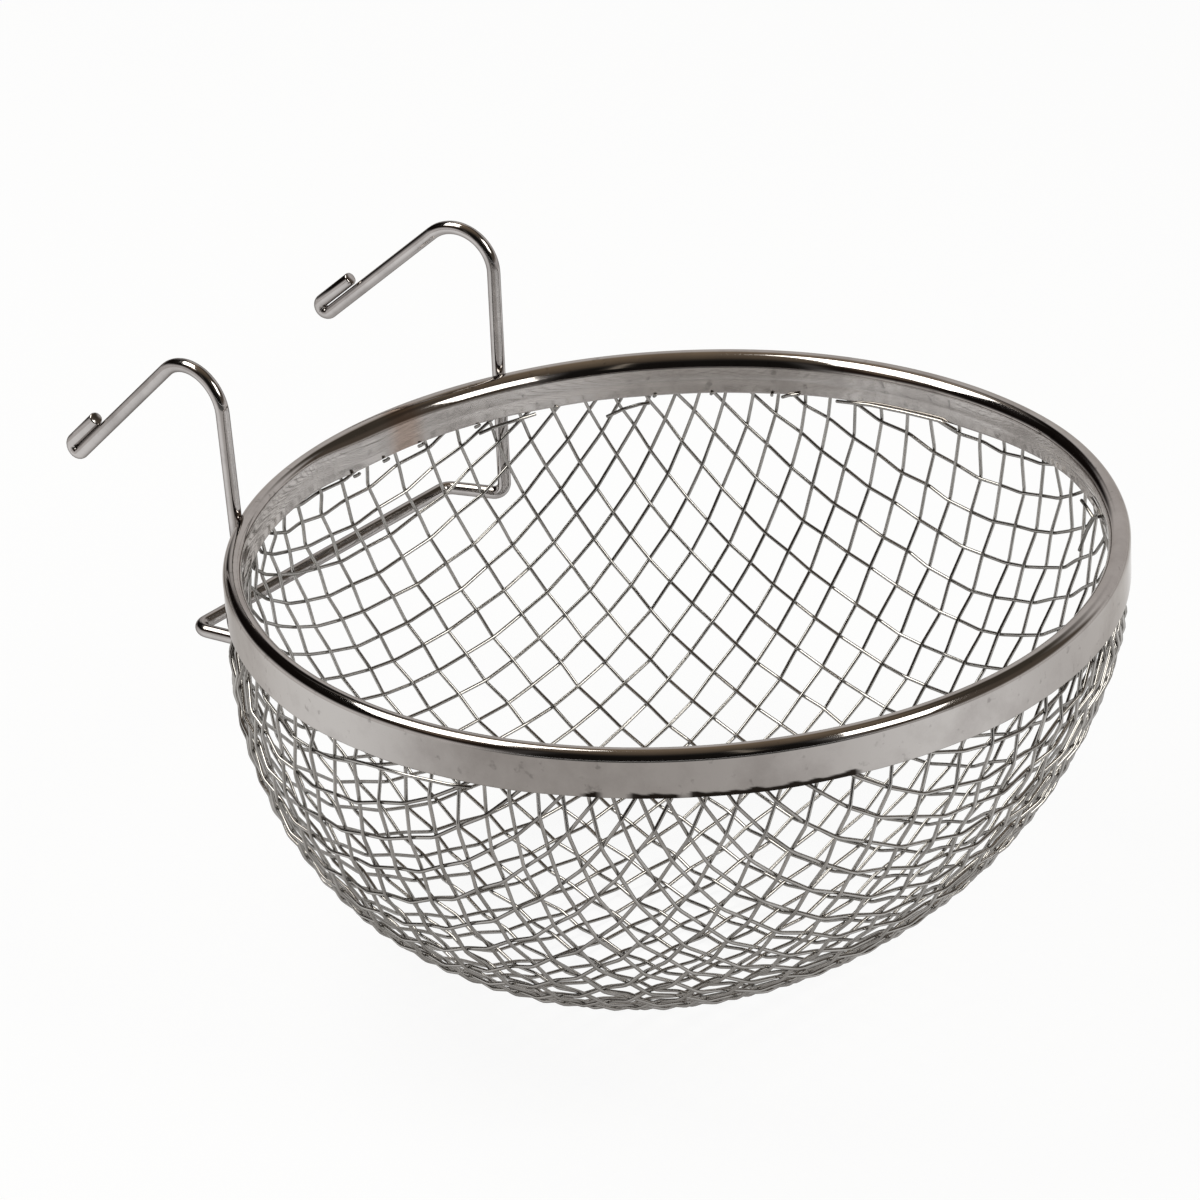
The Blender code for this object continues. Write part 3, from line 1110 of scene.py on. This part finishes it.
@dataclass
class Studio:
    """White floor and backdrop, two soft boxes overhead and the dark room that metal mirrors."""

    rim: Rim
    floor_z: float
    lens_mm: float = 150.0
    sensor_mm: float = 36.0
    image_px: float = 1200.0
    clip: tuple[float, float] = (0.01, 20.0)
    distance: float = 0.66156
    elevation: float = math.radians(26.377)
    turn: float = math.radians(51.2)
    roll: float = math.radians(-3.07)
    aim_px: tuple[float, float] = (677.39, 533.84)
    lamps: tuple[SoftBox, ...] = (
        SoftBox("left_soft_box", (-0.494, 0.146, 0.859), (0.48, 0.74), 67, 6.1),
        SoftBox("right_soft_box", (0.637, -0.418, 0.649), (0.37, 0.56), -27, 3.5),
    )
    # Strength of the surround's light, and how much of its shadow the white floor keeps
    fill: float = 0.35
    shadow: float = 0.12
    paper_colour: str = "#F4F4F4"
    room_radius: float = 1.6
    room_turns: int = 120
    room_rises: int = 40
    room_top: float = math.pi / 2 - 0.02
    pale_wall: str = "#DAD6D4"
    near_roof: str = "#2F2B27"
    far_roof: str = "#94836F"
    roof_run: float = 1.5
    roof_rise: tuple[float, float] = (34, 56)
    # What bright metal mirrors: colour, turn, half the width, lower edge, upper edge and softness
    walls: tuple[Wall, ...] = (
        Wall("#2C231D", -66, 26, 12, 52, 8),
        Wall("#7C6C5E", -70, 9, 33, 50, 6),
        Wall("#6E6459", 72, 28, 6, 40, 10),
        Wall("#5B5249", 92, 28, 8, 62, 8),
        Wall("#474139", 128, 36, 36, 60, 8),
        Wall("#1B1917", -2, 44, -30, 58, 12),
        Wall("#15110F", -112, 30, 10, 56, 7),
        Wall("#15110F", -138, 20, 5, 44, 6),
        Wall("#5A524B", -141, 7, -60, 4, 6),
        Wall("#1A1614", -158, 13, 27, 46, 4),
        Wall("#A59C90", 15, 1.5, 28, 60, 2.5),
        Wall("#4A4239", 52, 14, 2, 34, 8),
    )
    floor_turns: int = 96
    floor_reach: float = 3.0
    table_reach: float = 0.28
    table_edge: float = 1.08
    # Painted shadow of the pan on the floor that mirrors see: how far out it fades, and the share of the
    # table's colour left under the pan
    shadow_reach: float = 0.125
    pan_shadow_share: float = 0.82
    # The table as mirrors see it, with painted shade: darker in front, white towards the sides and the back
    bare_table: str = "#E0DEDD"
    table_shades: tuple[Wall, ...] = (
        Wall("#B9B5B2", -20, 38, -90, 90, 26),
        Wall(WHITE, 58, 18, -90, 90, 22),
        Wall(WHITE, -92, 26, -90, 90, 20),
        Wall(WHITE, 150, 46, -90, 90, 24),
    )

    def to_world(self, vectors: np.ndarray) -> np.ndarray:
        """Turns vectors from right, away and up, as the photo sees them, into the model's axes."""
        return vectors @ turn_matrix(-self.turn, 0, 1)

    def put(self, data: bpy.types.ID, axes: np.ndarray, place: np.ndarray) -> bpy.types.Object:
        """Adds the camera or a lamp to the scene.

        Args:
            data: what it is.
            axes: rows to its right, up and back, as the photo sees them.
            place: to the right, away and up from the rim's crown.

        Returns:
            The object.
        """
        item = bpy.data.objects.new(data.name, data)
        matrix = np.eye(4)
        matrix[:3, :3] = self.to_world(axes).T
        matrix[:3, 3] = self.rim.centre + self.to_world(place)
        item.matrix_world = Matrix(matrix.tolist())
        bpy.context.scene.collection.objects.link(item)
        return item

    def camera(self) -> None:
        """Puts the camera where the photo was taken from."""
        cos, sin = math.cos(self.elevation), math.sin(self.elevation)
        place = np.array([0.0, -cos, sin]) * self.distance
        level = np.array([[1.0, 0.0, 0.0], [0.0, sin, cos], [0.0, cos, -sin]])
        focal = self.lens_mm / self.sensor_mm * self.image_px
        middle = self.image_px / 2
        pan = math.atan((self.aim_px[0] - middle) / focal)
        tilt = math.atan((middle - self.aim_px[1]) / focal * math.cos(pan))
        aim = turn_matrix(pan, 0, 2) @ turn_matrix(tilt, 1, 2) @ turn_matrix(self.roll, 0, 1)
        right, up, ahead = aim @ level
        data = bpy.data.cameras.new("photo_camera")
        data.lens, data.sensor_width = self.lens_mm, self.sensor_mm
        data.clip_start, data.clip_end = self.clip
        bpy.context.scene.camera = self.put(data, np.stack([right, up, -ahead]), place)

    def seen_white(self, tree: bpy.types.NodeTree) -> bpy.types.NodeSocket:
        """One for rays from the camera, a mirror or glass, and zero for the rest.

        Args:
            tree: the nodes that take it.

        Returns:
            The share of white.
        """
        path = add_node(tree, "ShaderNodeLightPath").outputs
        seen = path["Is Camera Ray"]
        for ray in ("Is Glossy Ray", "Is Transmission Ray"):
            seen = add_node(
                tree, "ShaderNodeMath", links={0: seen, 1: path[ray]}, operation="MAXIMUM"
            ).outputs[0]
        return seen

    def world(self) -> None:
        """Adds a white surround, with a plain level of fill light."""
        world = bpy.data.worlds.new("white_surround")
        bpy.context.scene.world = world
        world.use_nodes = True
        tree = world.node_tree
        strength = add_node(
            tree, "ShaderNodeMapRange", {"To Min": self.fill, "To Max": 1.0}, {"Value": self.seen_white(tree)}
        ).outputs["Result"]
        background = tree.nodes["Background"]
        background.inputs["Color"].default_value = to_linear(WHITE)
        tree.links.new(strength, background.inputs["Strength"])

    def paper(self) -> bpy.types.Material:
        """White paper that keeps part of its shadow and is clear from below.

        Returns:
            A material with its nodes.
        """
        material = bare_material("white paper")
        tree = material.node_tree
        shade = add_node(tree, "ShaderNodeAttribute", attribute_name="shade").outputs["Color"]
        mirror = add_node(tree, "ShaderNodeLightPath").outputs["Is Glossy Ray"]
        white = add_node(
            tree, "ShaderNodeMix", {MIX_FIRST: to_linear(WHITE)}, {MIX_SHARE: mirror, MIX_SECOND: shade},
            data_type="RGBA",
        ).outputs[MIX_COLOUR]
        paper = add_node(tree, "ShaderNodeBsdfDiffuse", {"Color": to_linear(self.paper_colour)}).outputs[0]
        glow = add_node(tree, "ShaderNodeEmission", {"Strength": 1.0}, {"Color": white}).outputs[0]
        share = add_node(
            tree, "ShaderNodeMath", {1: 1 - self.shadow}, {0: self.seen_white(tree)}, operation="MULTIPLY"
        ).outputs[0]
        lit = add_node(tree, "ShaderNodeMixShader", links={0: share, 1: paper, 2: glow}).outputs[0]
        clear = add_node(tree, "ShaderNodeBsdfTransparent").outputs[0]
        under = add_node(tree, "ShaderNodeNewGeometry").outputs["Backfacing"]
        sides = add_node(tree, "ShaderNodeMixShader", links={0: under, 1: lit, 2: clear}).outputs[0]
        tree.links.new(sides, tree.nodes["Material Output"].inputs["Surface"])
        return material

    def floor(self) -> None:
        """Lays a wide white floor, with the painted shade and painted shadow that metal mirrors of it."""
        turn = np.linspace(0, 2 * math.pi, self.floor_turns, endpoint=False)
        way = np.stack([np.sin(turn), -np.cos(turn), np.zeros_like(turn)], 1)
        table_end = self.table_reach * self.table_edge
        rings = [self.rim.radius, self.shadow_reach, self.table_reach, table_end, self.floor_reach]
        points = np.concatenate([np.zeros((1, 3))] + [way * r for r in rings])
        points[:, 2] = self.floor_z - self.rim.centre[2]
        spot = np.arange(self.floor_turns)
        hub = np.stack([np.zeros_like(spot), 1 + spot, 1 + (spot + 1) % self.floor_turns], 1)
        # The same corners the other way round, so that the faces look up
        upward = grid_faces(len(rings), self.floor_turns)[:, [0, 3, 2, 1]] + 1
        bare = np.array(to_linear(self.bare_table)[:3])
        table = self.shaded(np.broadcast_to(bare, way.shape), way, self.table_shades)
        # Mirrors see the table darkened near the pan as a painted shadow, and the room beyond its edge
        near, beyond = table * self.pan_shadow_share, self.mirrored(way)
        shade = np.concatenate([bare[None] * self.pan_shadow_share, near, table, table, beyond, beyond])
        shape = Shape()
        shape.add(self.to_world(points), hub.tolist() + upward.tolist(), shade=shade)
        panel = shape.piece("white_floor", self.rim.centre)
        panel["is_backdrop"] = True
        panel.data.materials.append(self.paper())

    def shaded(self, seen: np.ndarray, way: np.ndarray, walls: tuple[Wall, ...]) -> np.ndarray:
        """Lays walls over colours.

        Args:
            seen: rows of linear red, green and blue.
            way: the unit vector of each row, to the right, away and up.
            walls: what is laid over them, in order.

        Returns:
            The new colours.
        """
        turn = np.degrees(np.arctan2(way[:, 0], -way[:, 1]))
        rise = np.degrees(np.arcsin(way[:, 2]))
        for wall in walls:
            aside = np.abs((turn - wall.turn + 180) % 360 - 180)
            share = ease(aside, wall.half + wall.soft, wall.half - wall.soft)
            share = share * ease(rise, wall.top + wall.soft, wall.top - wall.soft)
            share = share * ease(rise, wall.low - wall.soft, wall.low + wall.soft)
            seen = seen + (np.array(to_linear(wall.colour)[:3]) - seen) * share[:, None]
        return seen

    def mirrored(self, way: np.ndarray) -> np.ndarray:
        """What metal mirrors of the room: pale all round, with a brown roof and darker walls.

        Args:
            way: rows of unit vectors to the right, away and up.

        Returns:
            Linear red, green and blue for each row.
        """
        colours = (self.near_roof, self.far_roof, self.pale_wall)
        near, far, seen = (np.array(to_linear(colour)[:3]) for colour in colours)
        rise = np.degrees(np.arcsin(way[:, 2]))
        roof = near + (far - near) * np.clip(0.5 + way[:, 1] / self.roof_run, 0, 1)[:, None]
        seen = seen + (roof - seen) * ease(rise, *self.roof_rise)[:, None]
        return self.shaded(seen, way, self.walls)

    def room(self) -> None:
        """Adds a dome that only mirrors see."""
        turns, rises = self.room_turns, self.room_rises
        around = np.linspace(0, 2 * math.pi, turns, endpoint=False)
        turn, rise = np.meshgrid(around, np.linspace(0, self.room_top, rises), indexing="ij")
        level = np.cos(rise)
        way = np.stack([level * np.sin(turn), -level * np.cos(turn), np.sin(rise)], -1).reshape(-1, 3)
        top = list(range(rises - 1, turns * rises, rises))
        faces = grid_faces(turns, rises, ring=True, loop=False).tolist() + [top]
        shape = Shape()
        shape.add(self.to_world(way) * self.room_radius, faces, shade=self.mirrored(way))
        self.hide(shape.piece("dark_room", self.rim.centre))

    def hide(self, panel: bpy.types.Object) -> None:
        """Leaves a panel of the room to mirrors alone, with the colours of its attribute shade.

        Args:
            panel: the object.
        """
        panel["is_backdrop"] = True
        for ray in ("camera", "diffuse", "transmission", "volume_scatter", "shadow"):
            setattr(panel, f"visible_{ray}", False)
        material = bare_material("room seen in metal")
        tree = material.node_tree
        colour = add_node(tree, "ShaderNodeAttribute", attribute_name="shade").outputs["Color"]
        glow = add_node(tree, "ShaderNodeEmission", {"Strength": 1.0}, {"Color": colour}).outputs[0]
        tree.links.new(glow, tree.nodes["Material Output"].inputs["Surface"])
        panel.data.materials.append(material)

    def soft_box(self, box: SoftBox) -> None:
        """Hangs up a lamp.

        Args:
            box: the lamp.
        """
        data = bpy.data.lights.new(box.name, "AREA")
        data.shape = "RECTANGLE"
        data.size, data.size_y = box.size
        data.energy = box.power
        data.color = to_linear(box.colour)[:3]
        place, roll = np.array(box.place), math.radians(box.roll)
        back = unit(place)
        level = unit(np.cross(UP, back))
        across = level * math.cos(roll) + np.cross(back, level) * math.sin(roll)
        lamp = self.put(data, np.stack([across, np.cross(back, across), back]), place)
        lamp.visible_camera = False

    def build(self) -> None:
        """Sets up the camera, the white surround, the lamps and the dark room."""
        bpy.context.scene.view_settings.view_transform = "Standard"
        self.camera()
        self.world()
        self.floor()
        for box in self.lamps:
            self.soft_box(box)
        self.room()
        LOG.info("studio: camera, floor, %d soft boxes and the room", len(self.lamps))


def main() -> None:
    """Builds and dresses the nest pan, then the studio round it."""
    logging.basicConfig(level=logging.INFO, format="%(name)s %(message)s")
    rim = Rim()
    rim.build()
    form = BowlForm()
    WireCloth().build(form, rim.centre)
    Hanger().build(rim)
    Studio(rim, float(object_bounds()[0][2])).build()


if __name__ == "__main__":
    main()
